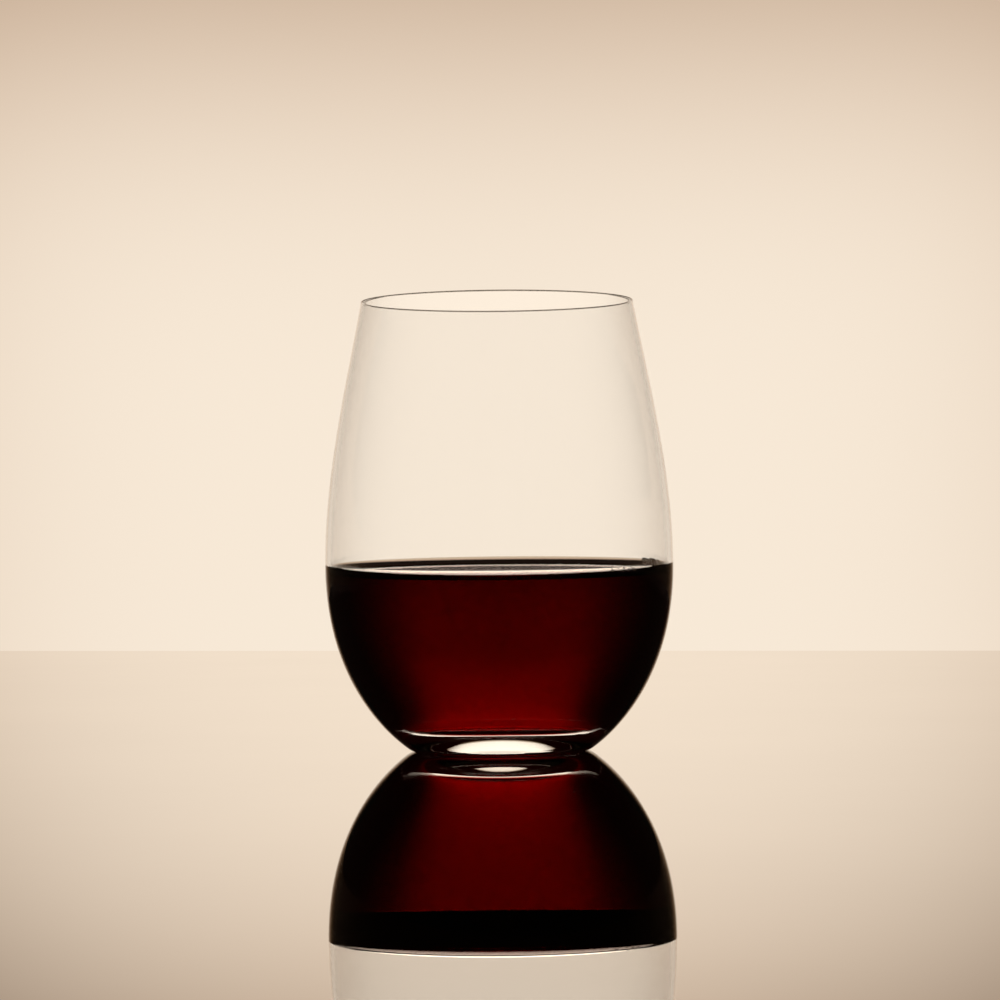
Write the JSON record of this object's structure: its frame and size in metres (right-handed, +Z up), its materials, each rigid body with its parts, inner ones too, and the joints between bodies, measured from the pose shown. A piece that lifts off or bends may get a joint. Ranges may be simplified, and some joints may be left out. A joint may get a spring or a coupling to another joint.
{
  "type": "stemless wine glass",
  "caption": "Clear stemless wine glass: a rounded bowl drawn in to a thin rim and a thick flat foot, part filled with red wine that can swirl.",
  "frame": {"origin": "centre of the foot, on the surface that the glass stands on", "axes": "+Z up along the glass's axis; X and Y are free, since the glass is round; the picture looks along +Y"},
  "size_m": [0.0962, 0.0962, 0.1242],
  "materials": {
    "glass": "fire-polished clear glass",
    "wine": "clear deep red liquid"
  },
  "bodies": {
    "glass": {"glass": "glass"},
    "wine": {"wine": "wine"}
  },
  "joints": [
    {"name": "wine_swirl", "type": "hinge", "parent": "glass", "child": "wine", "pos_m": [0, 0, 0.0486], "axis": [0, 0, 1], "continuous": true}
  ]
}
